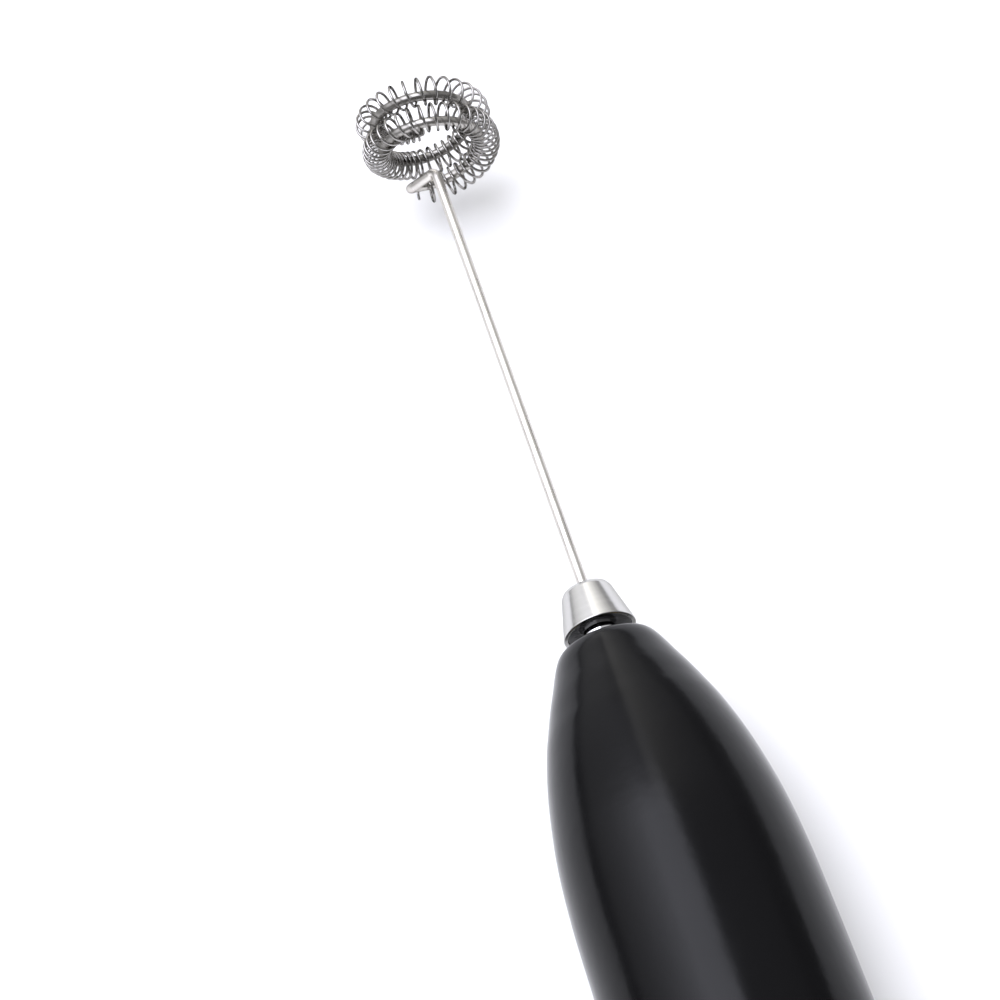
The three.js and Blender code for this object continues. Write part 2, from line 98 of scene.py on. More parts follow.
def studio_world():
    """A soft studio: grey above, a large softbox to the upper left, and a bright sweep beyond the whisk."""
    world = bpy.data.worlds.new("studio")
    scene.world = world
    world.use_nodes = True
    nt = world.node_tree
    links = nt.links
    tc = nt.nodes.new("ShaderNodeTexCoord")
    sep = nt.nodes.new("ShaderNodeSeparateXYZ")
    links.new(tc.outputs["Generated"], sep.inputs[0])

    def put(sock, v):
        if isinstance(v, (int, float)):
            sock.default_value = v
        else:
            links.new(v, sock)

    def op(kind, a, b=None):
        n = nt.nodes.new("ShaderNodeMath")
        n.operation = kind
        put(n.inputs[0], a)
        if b is not None:
            put(n.inputs[1], b)
        return n.outputs[0]

    def curve(value, stops):
        lo, hi = stops[0][0], stops[-1][0]
        m = nt.nodes.new("ShaderNodeMapRange")
        m.inputs["From Min"].default_value = lo
        m.inputs["From Max"].default_value = hi
        links.new(value, m.inputs["Value"])
        c = nt.nodes.new("ShaderNodeFloatCurve")
        cm = c.mapping
        cm.extend = "HORIZONTAL"
        pts = cm.curves[0].points
        top = max(v for _, v in stops)
        xs = [((x - lo) / (hi - lo), v / top) for x, v in stops]
        pts[0].location, pts[1].location = xs[0], xs[-1]
        for q in xs[1:-1]:
            pts.new(*q)
        for q in pts:
            q.handle_type = "AUTO_CLAMPED"
        cm.update()
        links.new(m.outputs["Result"], c.inputs["Value"])
        return op("MULTIPLY", c.outputs["Value"], top)

    x, y, z = sep.outputs
    deg = 180 / math.pi
    side = op("MULTIPLY", op("ARCTAN2", x, z), deg)          # 0 overhead, negative to the left
    lean = op("MULTIPLY", op("ARCSINE", y), deg)             # positive beyond the whisk
    box = op("MULTIPLY", curve(side, SOFTBOX_SIDE), curve(lean, SOFTBOX_LEAN))
    sky = op("MULTIPLY", curve(side, SKY_SIDE), curve(lean, SKY_LEAN))
    bg = nt.nodes["Background"]
    cool = nt.nodes.new("ShaderNodeBackground")
    cool.inputs[0].default_value = (0.88, 0.89, 1.0, 1)
    links.new(box, cool.inputs[1])
    bg.inputs[0].default_value = (0.985, 0.985, 1.0, 1)
    links.new(sky, bg.inputs[1])
    warm = nt.nodes.new("ShaderNodeBackground")
    warm.inputs[0].default_value = (1.0, 0.975, 0.92, 1)
    links.new(op("MULTIPLY", curve(side, SWEEP_SIDE), curve(lean, SWEEP_LEAN)), warm.inputs[1])
    total = bg
    for extra in (cool, warm):
        both = nt.nodes.new("ShaderNodeAddShader")
        links.new(total.outputs[0], both.inputs[0])
        links.new(extra.outputs[0], both.inputs[1])
        total = both
    links.new(total.outputs[0], nt.nodes["World Output"].inputs["Surface"])


SOFTBOX_SIDE = [(-80, 0.0), (-60, 0.7), (-42, 1.9), (-25, 3.6), (-14, 4.7), (0, 4.5), (7, 3.9), (12, 0.6), (16, 0.0)]
SOFTBOX_LEAN = [(-25, 0.0), (-8, 0.9), (10, 1.0), (28, 1.0), (37, 0.55), (46, 0.14), (54, 0.08), (62, 0.0)]
SKY_SIDE = [(-180, 0.5), (-106, 0.40), (-96, 0.22), (-84, 0.30), (-70, 0.75), (-40, 0.85), (0, 0.62), (20, 0.62), (60, 0.52), (84, 0.28), (100, 0.30), (180, 0.5)]
SKY_LEAN = [(-90, 0.25), (-40, 0.4), (-10, 0.8), (5, 1.0), (30, 1.0), (50, 1.2), (75, 1.7), (90, 2.2)]
SWEEP_SIDE = [(-60, 0.0), (-6, 0.0), (1, 1.15), (8, 1.2), (24, 0.85), (48, 0.3), (75, 0.0)]
SWEEP_LEAN = [(28, 0.0), (44, 0.8), (55, 1.0), (70, 0.9), (90, 0.6)]
studio_world()


# ------------------------------------------------------------------ materials
def new_material(name, base, rough, metal=0.0, spec=0.5, ior=1.5, coat=0.0, coat_rough=0.05, aniso=0.0, sheen=0.0):
    mat = bpy.data.materials.new(name)
    mat.use_nodes = True
    nt = mat.node_tree
    b = nt.nodes["Principled BSDF"]
    b.inputs["Base Color"].default_value = (*base, 1)
    b.inputs["Roughness"].default_value = rough
    b.inputs["Metallic"].default_value = metal
    b.inputs["Specular IOR Level"].default_value = spec
    b.inputs["IOR"].default_value = ior
    b.inputs["Coat Weight"].default_value = coat
    b.inputs["Coat Roughness"].default_value = coat_rough
    b.inputs["Anisotropic"].default_value = aniso
    b.inputs["Sheen Weight"].default_value = sheen
    mat.diffuse_color = (*base, 1)
    return mat, nt, b


def node(nt, kind, **props):
    n = nt.nodes.new(kind)
    for k, v in props.items():
        setattr(n, k, v)
    return n


def coords(nt, scale=(1, 1, 1), offset=(0, 0, 0)):
    tc = node(nt, "ShaderNodeTexCoord")
    mp = node(nt, "ShaderNodeMapping")
    mp.inputs["Scale"].default_value = scale
    mp.inputs["Location"].default_value = offset
    nt.links.new(tc.outputs["Object"], mp.inputs["Vector"])
    return mp.outputs["Vector"]


def noise(nt, vector, scale, detail=2.0, rough=0.5, distortion=0.0):
    n = node(nt, "ShaderNodeTexNoise")
    n.inputs["Scale"].default_value = scale
    n.inputs["Detail"].default_value = detail
    n.inputs["Roughness"].default_value = rough
    n.inputs["Distortion"].default_value = distortion
    nt.links.new(vector, n.inputs["Vector"])
    return n.outputs["Fac"]


def remap(nt, value, lo, hi, a=0.0, b=1.0):
    n = node(nt, "ShaderNodeMapRange")
    n.inputs["From Min"].default_value = a
    n.inputs["From Max"].default_value = b
    n.inputs["To Min"].default_value = lo
    n.inputs["To Max"].default_value = hi
    nt.links.new(value, n.inputs["Value"])
    return n.outputs["Result"]


def ramp(nt, value, stops):
    n = node(nt, "ShaderNodeValToRGB")
    e = n.color_ramp.elements
    while len(e) > 2:
        e.remove(e[-1])
    for i, (p, c) in enumerate(stops):
        if i < 2:
            e[i].position = p
            e[i].color = (*c, 1)
        else:
            x = e.new(p)
            x.color = (*c, 1)
    nt.links.new(value, n.inputs["Fac"])
    return n.outputs["Color"]


def math_node(nt, op, a, b=None):
    n = node(nt, "ShaderNodeMath", operation=op)
    for i, v in enumerate((a, b)):
        if v is None:
            continue
        if isinstance(v, (int, float)):
            n.inputs[i].default_value = v
        else:
            nt.links.new(v, n.inputs[i])
    return n.outputs[0]


def bump(nt, b, height, strength, distance, chain=None):
    n = node(nt, "ShaderNodeBump")
    n.inputs["Strength"].default_value = strength
    n.inputs["Distance"].default_value = distance
    nt.links.new(height, n.inputs["Height"])
    if chain is not None:
        nt.links.new(chain, n.inputs["Normal"])
    nt.links.new(n.outputs["Normal"], b.inputs["Normal"])
    return n.outputs["Normal"]


def tint(nt, b, vector, base, spread, scale, detail=3.0):
    """Slow colour variation round a base colour."""
    f = noise(nt, vector, scale, detail)
    lo = tuple(c * (1 - spread) for c in base)
    hi = tuple(min(1.0, c * (1 + spread)) for c in base)
    nt.links.new(ramp(nt, f, [(0.3, lo), (0.7, hi)]), b.inputs["Base Color"])


def gloss_black():
    base = (0.0024, 0.0024, 0.0030)
    mat, nt, b = new_material("handle_gloss", base, 0.17, ior=1.25)
    v = coords(nt)
    tint(nt, b, v, base, 0.12, 60)
    haze = noise(nt, v, 85, 4.0, 0.55)
    streak = noise(nt, coords(nt, (700, 30, 700)), 1.0, 3.0, 0.6)
    both = math_node(nt, "ADD", remap(nt, haze, 0.135, 0.205, 0.3, 0.7), remap(nt, streak, -0.012, 0.018, 0.35, 0.7))
    nt.links.new(both, b.inputs["Roughness"])
    peel = noise(nt, v, 420, 1.5)
    fine = noise(nt, v, 2600, 2.0)
    first = bump(nt, b, peel, 0.035, 0.0006)
    bump(nt, b, fine, 0.02, 0.0001, first)
    return mat


def plastic(name, base, rough, grain=1800.0, depth=0.05, var=0.1):
    mat, nt, b = new_material(name, base, rough)
    v = coords(nt)
    tint(nt, b, v, base, var, 110)
    nt.links.new(remap(nt, noise(nt, v, 240, 3.0), max(0.03, rough - 0.06), rough + 0.06, 0.3, 0.7), b.inputs["Roughness"])
    bump(nt, b, noise(nt, v, grain, 2.0), depth, 0.0003)
    return mat


def turned_metal(name, base, rough, metal=1.0, aniso=0.0, lines=5200.0, depth=0.10, var=0.06, radial=False, edge=(1, 1, 1)):
    """Metal finished on a lathe: very fine lines that run round the drive axis."""
    mat, nt, b = new_material(name, base, rough, metal, aniso=aniso)
    b.inputs["Specular Tint"].default_value = (*edge, 1)
    round_lines = noise(nt, coords(nt, (90, lines, 90)), 1.0, 4.0, 0.65)
    broad = noise(nt, coords(nt, (60, 2600, 60)), 1.0, 3.0)
    lo = tuple(c * (1 - var) for c in base)
    hi = tuple(min(1.0, c * (1 + var)) for c in base)
    nt.links.new(ramp(nt, round_lines, [(0.28, lo), (0.72, hi)]), b.inputs["Base Color"])
    r = math_node(nt, "ADD", remap(nt, round_lines, rough - 0.04, rough + 0.04, 0.3, 0.7), remap(nt, broad, -0.01, 0.015, 0.3, 0.7))
    nt.links.new(r, b.inputs["Roughness"])
    bump(nt, b, round_lines, depth, 0.00006)
    if radial:
        t = node(nt, "ShaderNodeTangent", direction_type="RADIAL", axis="Y")
        nt.links.new(t.outputs["Tangent"], b.inputs["Tangent"])
    return mat


SHAFT_END = 99.5


def drawn_wire(name, base, rough, var=0.05, length=26.0, across=2400.0, depth=0.05, edge=(1, 1, 1), painted_coil_shade=None):
    """Drawn stainless wire: faint die lines along it and slow changes of tone, with optional painted shade where it
    runs inside the coil.
    """
    mat, nt, b = new_material(name, base, rough, 1.0)
    b.inputs["Specular Tint"].default_value = (*edge, 1)
    lines = noise(nt, coords(nt, (across, length, across)), 1.0, 3.0, 0.6)
    slow = noise(nt, coords(nt), 140, 3.0)
    both = math_node(nt, "MULTIPLY", lines, slow)
    lo = tuple(c * (1 - var) for c in base)
    hi = tuple(min(1.0, c * (1 + var)) for c in base)
    colour = ramp(nt, both, [(0.14, lo), (0.4, hi)])
    if painted_coil_shade is not None:
        # painted shade: past the shaft's end, where the wire runs inside the coil, it is darkened to stand in for the
        # coil's shadow on it
        sep = node(nt, "ShaderNodeSeparateXYZ")
        nt.links.new(coords(nt), sep.inputs[0])
        mix = node(nt, "ShaderNodeMix", data_type="RGBA", blend_type="MULTIPLY")
        mix.inputs["Factor"].default_value = 1.0
        k = painted_coil_shade
        start = (SHAFT_END + AXIS[1]) * MM
        shade = ramp(nt, remap(nt, sep.outputs[1], 0.0, 1.0, start, start + 0.007), [(0.0, (1, 1, 1)), (1.0, (k, k, k))])
        nt.links.new(colour, mix.inputs["A"])
        nt.links.new(shade, mix.inputs["B"])
        colour = mix.outputs["Result"]
    nt.links.new(colour, b.inputs["Base Color"])
    nt.links.new(remap(nt, slow, rough - 0.05, rough + 0.07, 0.3, 0.7), b.inputs["Roughness"])
    bump(nt, b, lines, depth, 0.00004)
    return mat


def wound_copper():
    base = (0.50, 0.17, 0.065)
    mat, nt, b = new_material("copper_winding", base, 0.28, 0.85, coat=0.5, coat_rough=0.12)
    w = node(nt, "ShaderNodeTexWave", wave_type="BANDS", bands_direction="Y")
    w.inputs["Scale"].default_value = 620
    w.inputs["Distortion"].default_value = 1.2
    w.inputs["Detail"].default_value = 2.0
    nt.links.new(coords(nt), w.inputs["Vector"])
    nt.links.new(ramp(nt, w.outputs["Fac"], [(0.1, (0.20, 0.055, 0.02)), (0.8, (0.62, 0.24, 0.09))]), b.inputs["Base Color"])
    bump(nt, b, w.outputs["Fac"], 0.6, 0.0002)
    return mat


def matte(name, base, rough, grain=1400.0, depth=0.25, var=0.15):
    mat, nt, b = new_material(name, base, rough, spec=0.4)
    v = coords(nt)
    tint(nt, b, v, base, var, 300)
    nt.links.new(remap(nt, noise(nt, v, 600, 3.0), rough - 0.08, min(1.0, rough + 0.08), 0.3, 0.7), b.inputs["Roughness"])
    bump(nt, b, noise(nt, v, grain, 3.0, 0.6), depth, 0.0002)
    return mat


def jacket():
    base = (0.045, 0.085, 0.12)
    mat, nt, b = new_material("cell_jacket", base, 0.3, 0.55, coat=0.6, coat_rough=0.15)
    sep = node(nt, "ShaderNodeSeparateXYZ")
    nt.links.new(coords(nt), sep.inputs[0])
    scuff = noise(nt, coords(nt, (260, 60, 260)), 1.0, 4.0, 0.6)
    nt.links.new(ramp(nt, scuff, [(0.3, (0.035, 0.07, 0.10)), (0.75, (0.075, 0.13, 0.17))]), b.inputs["Base Color"])
    nt.links.new(remap(nt, scuff, 0.22, 0.42, 0.3, 0.75), b.inputs["Roughness"])
    bump(nt, b, scuff, 0.05, 0.0001)
    return mat


M = {
    "gloss": gloss_black(),
    "black_plastic": plastic("black_plastic", (0.022, 0.022, 0.024), 0.14, 2200, 0.03),
    "button": plastic("button_satin", (0.016, 0.016, 0.018), 0.42, 3400, 0.25),
    "cone": turned_metal("brushed_hub", (0.60, 0.595, 0.585), 0.17, aniso=0.8, lines=14000, depth=0.035, var=0.06, radial=True, edge=(0.55, 0.55, 0.53)),
    "chrome": turned_metal("spindle_chrome", (0.80, 0.80, 0.81), 0.06, lines=2600, depth=0.02, var=0.03),
    # the whisk wire is darkened inside the coil as painted shade
    "wire": drawn_wire("whisk_stainless", (0.74, 0.715, 0.675), 0.27, edge=(0.40, 0.385, 0.36), painted_coil_shade=0.40),
    "coil": drawn_wire("coil_stainless", (0.37, 0.36, 0.345), 0.08, 0.2, 200.0, 900.0, edge=(0.02, 0.02, 0.018)),
    "motor_steel": turned_metal("motor_steel", (0.55, 0.55, 0.54), 0.3, lines=1600),
    "nickel": turned_metal("nickel_steel", (0.66, 0.64, 0.60), 0.22, lines=1800),
    "brass": turned_metal("brass_parts", (0.68, 0.49, 0.21), 0.25, lines=3000),
    "copper": turned_metal("copper_parts", (0.62, 0.27, 0.12), 0.25, lines=1500),
    "winding": wound_copper(),
    "ferrite": matte("ferrite", (0.035, 0.035, 0.038), 0.6),
    "carbon": matte("carbon_brush", (0.02, 0.02, 0.022), 0.55, 2600),
    "rubber": matte("black_rubber", (0.012, 0.012, 0.012), 0.72, 900, 0.2),
    "natural": plastic("natural_plastic", (0.62, 0.58, 0.47), 0.4, 1500, 0.15, 0.06),
    "cell": jacket(),
    "cell_end": turned_metal("cell_can_end", (0.62, 0.61, 0.58), 0.28, lines=1500),
    "red": plastic("red_lead", (0.42, 0.02, 0.015), 0.38, 1500, 0.1),
    "black": plastic("black_lead", (0.012, 0.012, 0.012), 0.4, 1500, 0.1),
}


# ------------------------------------------------------------------ mesh tools (mm about the drive axis)
def piece(name, verts, faces, body, material, replaces=(), slot=None, sharp=35.0, location=None):
    mesh = bpy.data.meshes.new(name)
    v = np.array(verts, float) + AXIS
    origin = np.zeros(3) if location is None else np.array(location, float) + AXIS
    mesh.from_pydata(((v - origin) * MM).tolist(), [], faces)
    mesh.validate()
    mesh.update()
    o = bpy.data.objects.new(name, mesh)
    scene.collection.objects.link(o)
    o.location = Vector(origin * MM)
    mesh.materials.append(M[material] if isinstance(material, str) else material)
    mesh.shade_smooth()
    mesh.set_sharp_from_angle(angle=math.radians(sharp))
    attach(o, body)
    if replaces:
        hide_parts(*replaces)
    return o


def orient(verts, faces):
    v = np.array(verts, float)
    total = 0.0
    for f in faces:
        for k in range(1, len(f) - 1):
            total += np.dot(v[f[0]], np.cross(v[f[k]], v[f[k + 1]]))
    return faces if total > 0 else [tuple(reversed(f)) for f in faces]


def revolve(profile, segs=96, at=(0, 0)):
    """Closed solid from a profile of (radius, y); points on the axis become one vertex."""
    verts, rings = [], []
    for r, y in profile:
        if r < 1e-6:
            rings.append([len(verts)])
            verts.append((at[0], y, at[1]))
        else:
            base = len(verts)
            for k in range(segs):
                a = 2 * math.pi * k / segs
                verts.append((at[0] + r * math.sin(a), y, at[1] + r * math.cos(a)))
            rings.append(list(range(base, base + segs)))
    closed = not (profile[0][0] < 1e-6 and profile[-1][0] < 1e-6)
    pairs = list(zip(rings[:-1], rings[1:])) + ([(rings[-1], rings[0])] if closed else [])
    faces = []
    for a, b in pairs:
        if len(a) == 1 and len(b) == 1:
            continue
        for k in range(segs):
            j = (k + 1) % segs
            if len(a) == 1:
                faces.append((a[0], b[j], b[k]))
            elif len(b) == 1:
                faces.append((a[k], a[j], b[0]))
            else:
                faces.append((a[k], a[j], b[j], b[k]))
    return verts, orient(verts, faces)


def fillet(profile, radii, steps=5, closed=False):
    """Rounds the corners of a profile: radii has one value for each point, 0 keeps it sharp."""
    out, n = [], len(profile)
    for i, p in enumerate(profile):
        r = radii[i] if not isinstance(radii, (int, float)) else radii
        if r <= 0 or (not closed and i in (0, n - 1)):
            out.append(tuple(p))
            continue
        p0, p1, p2 = (np.array(profile[(i - 1) % n], float), np.array(p, float), np.array(profile[(i + 1) % n], float))
        u, w = p0 - p1, p2 - p1
        lu, lw = np.linalg.norm(u), np.linalg.norm(w)
        if lu < 1e-9 or lw < 1e-9:
            out.append(tuple(p))
            continue
        u, w = u / lu, w / lw
        ang = math.acos(max(-1, min(1, float(u @ w))))
        if ang > math.radians(176):
            out.append(tuple(p))
            continue
        d = min(r / math.tan(ang / 2), 0.48 * lu, 0.48 * lw)
        a, c = p1 + u * d, p1 + w * d
        for k in range(steps + 1):
            t = k / steps
            out.append(tuple((1 - t) ** 2 * a + 2 * t * (1 - t) * p1 + t * t * c))
    return out


def smooth_profile(points, step=0.8):
    """Monotone cubic through (radius, y) points, y falling from one to the next."""
    p = np.array(points, float)
    y, r = -p[:, 1], p[:, 0]
    h = np.diff(y)
    d = np.diff(r) / h
    mtan = np.zeros(len(y))
    mtan[0], mtan[-1] = d[0], d[-1]
    for i in range(1, len(y) - 1):
        if d[i - 1] * d[i] > 0:
            w1, w2 = 2 * h[i] + h[i - 1], h[i] + 2 * h[i - 1]
            mtan[i] = (w1 + w2) / (w1 / d[i - 1] + w2 / d[i])
    out = []
    for i in range(len(h)):
        n = max(1, int(round(h[i] / step)))
        for k in range(n):
            t = k / n
            t2, t3 = t * t, t * t * t
            out.append(((2 * t3 - 3 * t2 + 1) * r[i] + (t3 - 2 * t2 + t) * h[i] * mtan[i]
                        + (-2 * t3 + 3 * t2) * r[i + 1] + (t3 - t2) * h[i] * mtan[i + 1], -(y[i] + t * h[i])))
    out.append((r[-1], -y[-1]))
    return out


def sweep(path, radius, sides=16, round_ends=True, radii=None):
    """Round tube along a dense path, with parallel transported sections and domed ends."""
    P = np.array(path, float)
    T = np.gradient(P, axis=0)
    T /= np.linalg.norm(T, axis=1)[:, None]
    ref = np.array([1.0, 0, 0]) if abs(T[0][0]) < 0.9 else np.array([0, 0, 1.0])
    N = np.cross(T[0], ref)
    N /= np.linalg.norm(N)
    verts, rings = [], []
    rr = np.full(len(P), radius) if radii is None else np.array(radii)
    centres, tangents, normals, rads = [], [], [], []
    for i in range(len(P)):
        if i:
            N = N - T[i] * float(N @ T[i])
            N /= np.linalg.norm(N)
        centres.append(P[i]); tangents.append(T[i]); normals.append(N.copy()); rads.append(rr[i])
    if round_ends:
        cap = [(math.sin(f), math.cos(f)) for f in (math.radians(18), math.radians(42), math.radians(66))]
        pre = [(centres[0] - tangents[0] * rads[0] * c * 0.7, tangents[0], normals[0], rads[0] * s) for s, c in cap]
        post = [(centres[-1] + tangents[-1] * rads[-1] * c * 0.7, tangents[-1], normals[-1], rads[-1] * s) for s, c in reversed(cap)]
        rows = pre + list(zip(centres, tangents, normals, rads)) + post
        tips = (centres[0] - tangents[0] * rads[0] * 0.7, centres[-1] + tangents[-1] * rads[-1] * 0.7)
    else:
        rows = list(zip(centres, tangents, normals, rads))
        tips = (centres[0], centres[-1])
    for c, t, n, r in rows:
        b = np.cross(t, n)
        base = len(verts)
        for k in range(sides):
            a = 2 * math.pi * k / sides
            verts.append(tuple(c + r * (math.cos(a) * n + math.sin(a) * b)))
        rings.append(base)
    faces = []
    for a, b in zip(rings[:-1], rings[1:]):
        for k in range(sides):
            j = (k + 1) % sides
            faces.append((a + k, a + j, b + j, b + k))
    s, e = len(verts), len(verts) + 1
    verts += [tuple(tips[0]), tuple(tips[1])]
    for k in range(sides):
        j = (k + 1) % sides
        faces.append((s, rings[0] + j, rings[0] + k))
        faces.append((e, rings[-1] + k, rings[-1] + j))
    return verts, orient(verts, faces)


def prism(outline, y0, y1, bevel=0.12):
    """Straight prism along the axis from a convex outline of (x, z), with small bevels at both ends."""
    c = np.mean(np.array(outline), axis=0)
    def shrink(k):
        out = []
        for x, z in outline:
            d = np.array([x, z]) - c
            L = np.linalg.norm(d)
            out.append(tuple(c + d * (L - k) / L))
        return out
    rows = [(shrink(bevel), y0), (outline, y0 + bevel), (outline, y1 - bevel), (shrink(bevel), y1)]
    verts, n = [], len(outline)
    for o, y in rows:
        verts += [(x, y, z) for x, z in o]
    faces = []
    for r in range(3):
        for k in range(n):
            j = (k + 1) % n
            faces.append((r * n + k, r * n + j, (r + 1) * n + j, (r + 1) * n + k))
    faces.append(tuple(range(n)))
    faces.append(tuple(3 * n + k for k in reversed(range(n))))
    return verts, orient(verts, faces)


def merge(*parts):
    verts, faces = [], []
    for v, f in parts:
        base = len(verts)
        verts += list(v)
        faces += [tuple(base + i for i in q) for q in f]
    return verts, faces


# ------------------------------------------------------------------ handle shell
NOSE_Y, SPLIT_Y, TAIL_Y = -3.0, -82.0, -116.0
OUTER = [(8.55, -3.95), (9.12, -5.0), (10.44, -8.0), (12.2, -12.0), (13.45, -15.2), (14.51, -18.0), (15.71, -22.0), (16.7, -26.0), (17.83, -32.0),
         (18.41, -36.0), (18.8, -40.0), (19.05, -44.0), (19.22, -48.0), (19.34, -56.0), (19.44, -64.0), (19.5, -74.0), (19.5, SPLIT_Y)]
nose_round = [(4.3, -3.0), (6.9, -3.0), (7.45, -3.06), (7.85, -3.22), (8.2, -3.5)]
shell_outer = nose_round + smooth_profile(OUTER)
shell_outer[-1] = (19.38, SPLIT_Y)
shell_outer.insert(len(shell_outer) - 1, (19.5, SPLIT_Y + 0.14))
shell_inner = [(17.45, SPLIT_Y), (17.45, -47.0), (17.15, -43.5), (16.8, -40.0), (15.8, -32.0), (14.7, -26.0), (13.7, -22.0),
               (12.5, -18.5), (11.5, -16.0), (10.2, -14.0), (8.6, -12.0), (5.2, -11.8), (5.2, -3.9), (4.2, -3.9), (4.2, -3.1)]
piece("handle_shell", *revolve(shell_outer + shell_inner, 160), "handle", "gloss", ["front_shell"], "handle_gloss", 50)

# ------------------------------------------------------------------ battery cap and button
tail = smooth_profile([(19.5, -82.35), (19.5, -92.0), (19.22, -96.0), (18.55, -100.0), (17.25, -104.0), (15.15, -108.0), (12.9, -111.0), (10.3, -113.5), (8.2, -115.2)])
tail_outer = [(19.38, SPLIT_Y - 0.15)] + tail + [(7.7, -115.5), (7.0, -115.8), (6.5, -115.9), (6.1, -115.9), (5.85, -115.75), (5.72, -115.4)]
tail_inner = [(5.72, -113.8), (7.7, -113.8), (7.7, -112.4), (10.9, -110.4), (13.1, -107.8), (14.95, -104.8),
              (16.6, -100.0), (17.25, -96.0), (17.5, -92.0), (17.5, SPLIT_Y - 0.15)]
piece("battery_cap", *revolve(tail_outer + tail_inner, 160), "tail_cap", "gloss", ["tail_cap"], "handle_gloss", 50)

button_profile = [(0, -116.75), (1.6, -116.8), (2.6, -116.95), (3.4, -117.15), (4.1, -117.22), (4.7, -117.05), (5.1, -116.7), (5.3, -116.2),
                  (5.3, -113.5), (7.0, -113.5), (7.0, -112.3), (4.1, -112.3), (4.1, -110.2), (0, -110.2)]
piece("push_button", *revolve(button_profile, 96), "button", "button", ["button"], "button_satin", 40)

# ------------------------------------------------------------------ whisk hub
cone_profile = fillet([(6.17, 0.0), (4.33, 7.2), (3.9, 7.9), (1.2, 7.9), (1.2, 7.1), (3.5, 7.05), (5.45, 0.0)],
                      [0.14, 0.6, 0.35, 0.08, 0.05, 0.2, 0.1], 6, closed=True)
piece("hub_cone_shell", *revolve(cone_profile, 128), "whisk", "cone", ["hub_cone"], "brushed_hub", 40, location=(0, 3.95, 0))
insert_profile = fillet([(2.6, 0.5), (2.75, 0.38), (5.2, 0.3), (5.33, 0.2), (5.33, 0.5), (3.4, 6.8), (1.1, 6.8), (1.1, 5.1), (2.6, 5.1)],
                        [0.05, 0.06, 0.05, 0.03, 0.05, 0.1, 0.05, 0.05, 0.1], 4, closed=True)
piece("hub_plug", *revolve(insert_profile, 96), "whisk", "black_plastic", ["hub_insert"], "black_plastic", 40)

# ------------------------------------------------------------------ whisk wire, ring and coil
RING = dict(Rx=8.745, Rz=8.219, R=8.482, pitch=6.367, y=103.319, x=0.864, phase=math.radians(-51.64), tx=-0.042, tz=-0.138)
SHAFT_R, SHAFT_TOP = 0.9, 98.5


def ring_point(th):
    a = RING["phase"] + th
    x, z = RING["Rx"] * math.cos(a), RING["Rz"] * math.sin(a)
    return np.array([RING["x"] + x, RING["y"] + RING["pitch"] * th / (2 * math.pi) + RING["tx"] * x + RING["tz"] * z, z])


def ring_tangent(th):
    d = ring_point(th + 1e-3) - ring_point(th - 1e-3)
    return d / np.linalg.norm(d)


wire = [np.array([0, y, 0.0]) for y in np.linspace(6.0, SHAFT_TOP, 40)]
out_angle, bend, lift = math.radians(-137.5), 1.8, math.radians(75)
dx, dz = math.cos(out_angle), math.sin(out_angle)
for i in range(1, 17):
    f = lift * i / 16
    rr = bend * (1 - math.cos(f))
    wire.append(np.array([dx * rr, SHAFT_TOP + bend * math.sin(f), dz * rr]))
direction = np.array([dx * math.sin(lift), math.cos(lift), dz * math.sin(lift)])
last = wire[-1]
start = last + direction * 4.9
for i in range(1, 7):
    wire.append(last + direction * 4.9 * i / 6)
RING_FROM, RING_TO = -0.37 * math.pi, 3.76 * math.pi
end, tan, k, k_end = ring_point(RING_FROM), ring_tangent(RING_FROM), 6.0, 7.5
for i in range(1, 24):
    t = i / 24
    t2, t3 = t * t, t * t * t
    wire.append((2 * t3 - 3 * t2 + 1) * start + (t3 - 2 * t2 + t) * k * direction + (-2 * t3 + 3 * t2) * end + (t3 - t2) * k_end * tan)
for th in np.linspace(RING_FROM, RING_TO, 260):
    wire.append(ring_point(th))
piece("whisk_wire_fine", *sweep(wire, SHAFT_R, 24), "whisk", "wire", ["whisk_wire"], "whisk_stainless", 60)

COIL_FROM, COIL_TO = -0.36 * math.pi, 3.73 * math.pi
COIL_R, COIL_WIRE, COIL_HANG, PER_TURN = 2.45, 0.25, 1.2, 30
PITCH_T = [-0.40, -0.2, 0.1, 0.2, 0.4, 0.6, 1.0, 1.1, 1.2, 1.6, 1.7, 2.0, 2.3, 2.6, 3.0, 3.35, 3.5, 3.8]
PITCH_P = [1.9, 1.6, 1.4, 1.1, 1.05, 1.65, 1.65, 1.2, 1.05, 1.05, 1.5, 1.5, 1.7, 1.95, 1.95, 1.8, 1.15, 1.05]
coil, th, turn = [], COIL_FROM, 0.0
rng = np.random.default_rng(7)
wobble = rng.normal(0, 1, 400)
while th < COIL_TO:
    psi = 2 * math.pi * turn
    T = ring_tangent(th)
    a = RING["phase"] + th
    out = np.array([math.cos(a), 0, math.sin(a)])
    out -= T * (out @ T)
    out /= np.linalg.norm(out)
    side = np.cross(T, out)
    i0, ft = int(turn), turn - int(turn)
    s = ft * ft * (3 - 2 * ft)
    w = (wobble[i0] * (1 - s) + wobble[i0 + 1] * s)
    rad = COIL_R * (1 + 0.012 * w)
    hang = COIL_HANG * float(np.interp(th / math.pi, [3.1, 3.5], [1.0, 0.08]))
    rad *= float(np.interp(th / math.pi, [3.25, 3.55], [1.0, 0.58]))
    coil.append(ring_point(th) + out * (hang + rad * math.cos(psi)) + side * (rad * math.sin(psi)) + T * 0.05 * w)
    turn += 1 / PER_TURN
    th += float(np.interp(th / math.pi, PITCH_T, PITCH_P)) / PER_TURN / math.hypot(RING["R"], RING["pitch"] / (2 * math.pi))
piece("whisk_coil_fine", *sweep(coil, COIL_WIRE, 10), "whisk", "coil", ["whisk_coil"], "coil_stainless", 60)

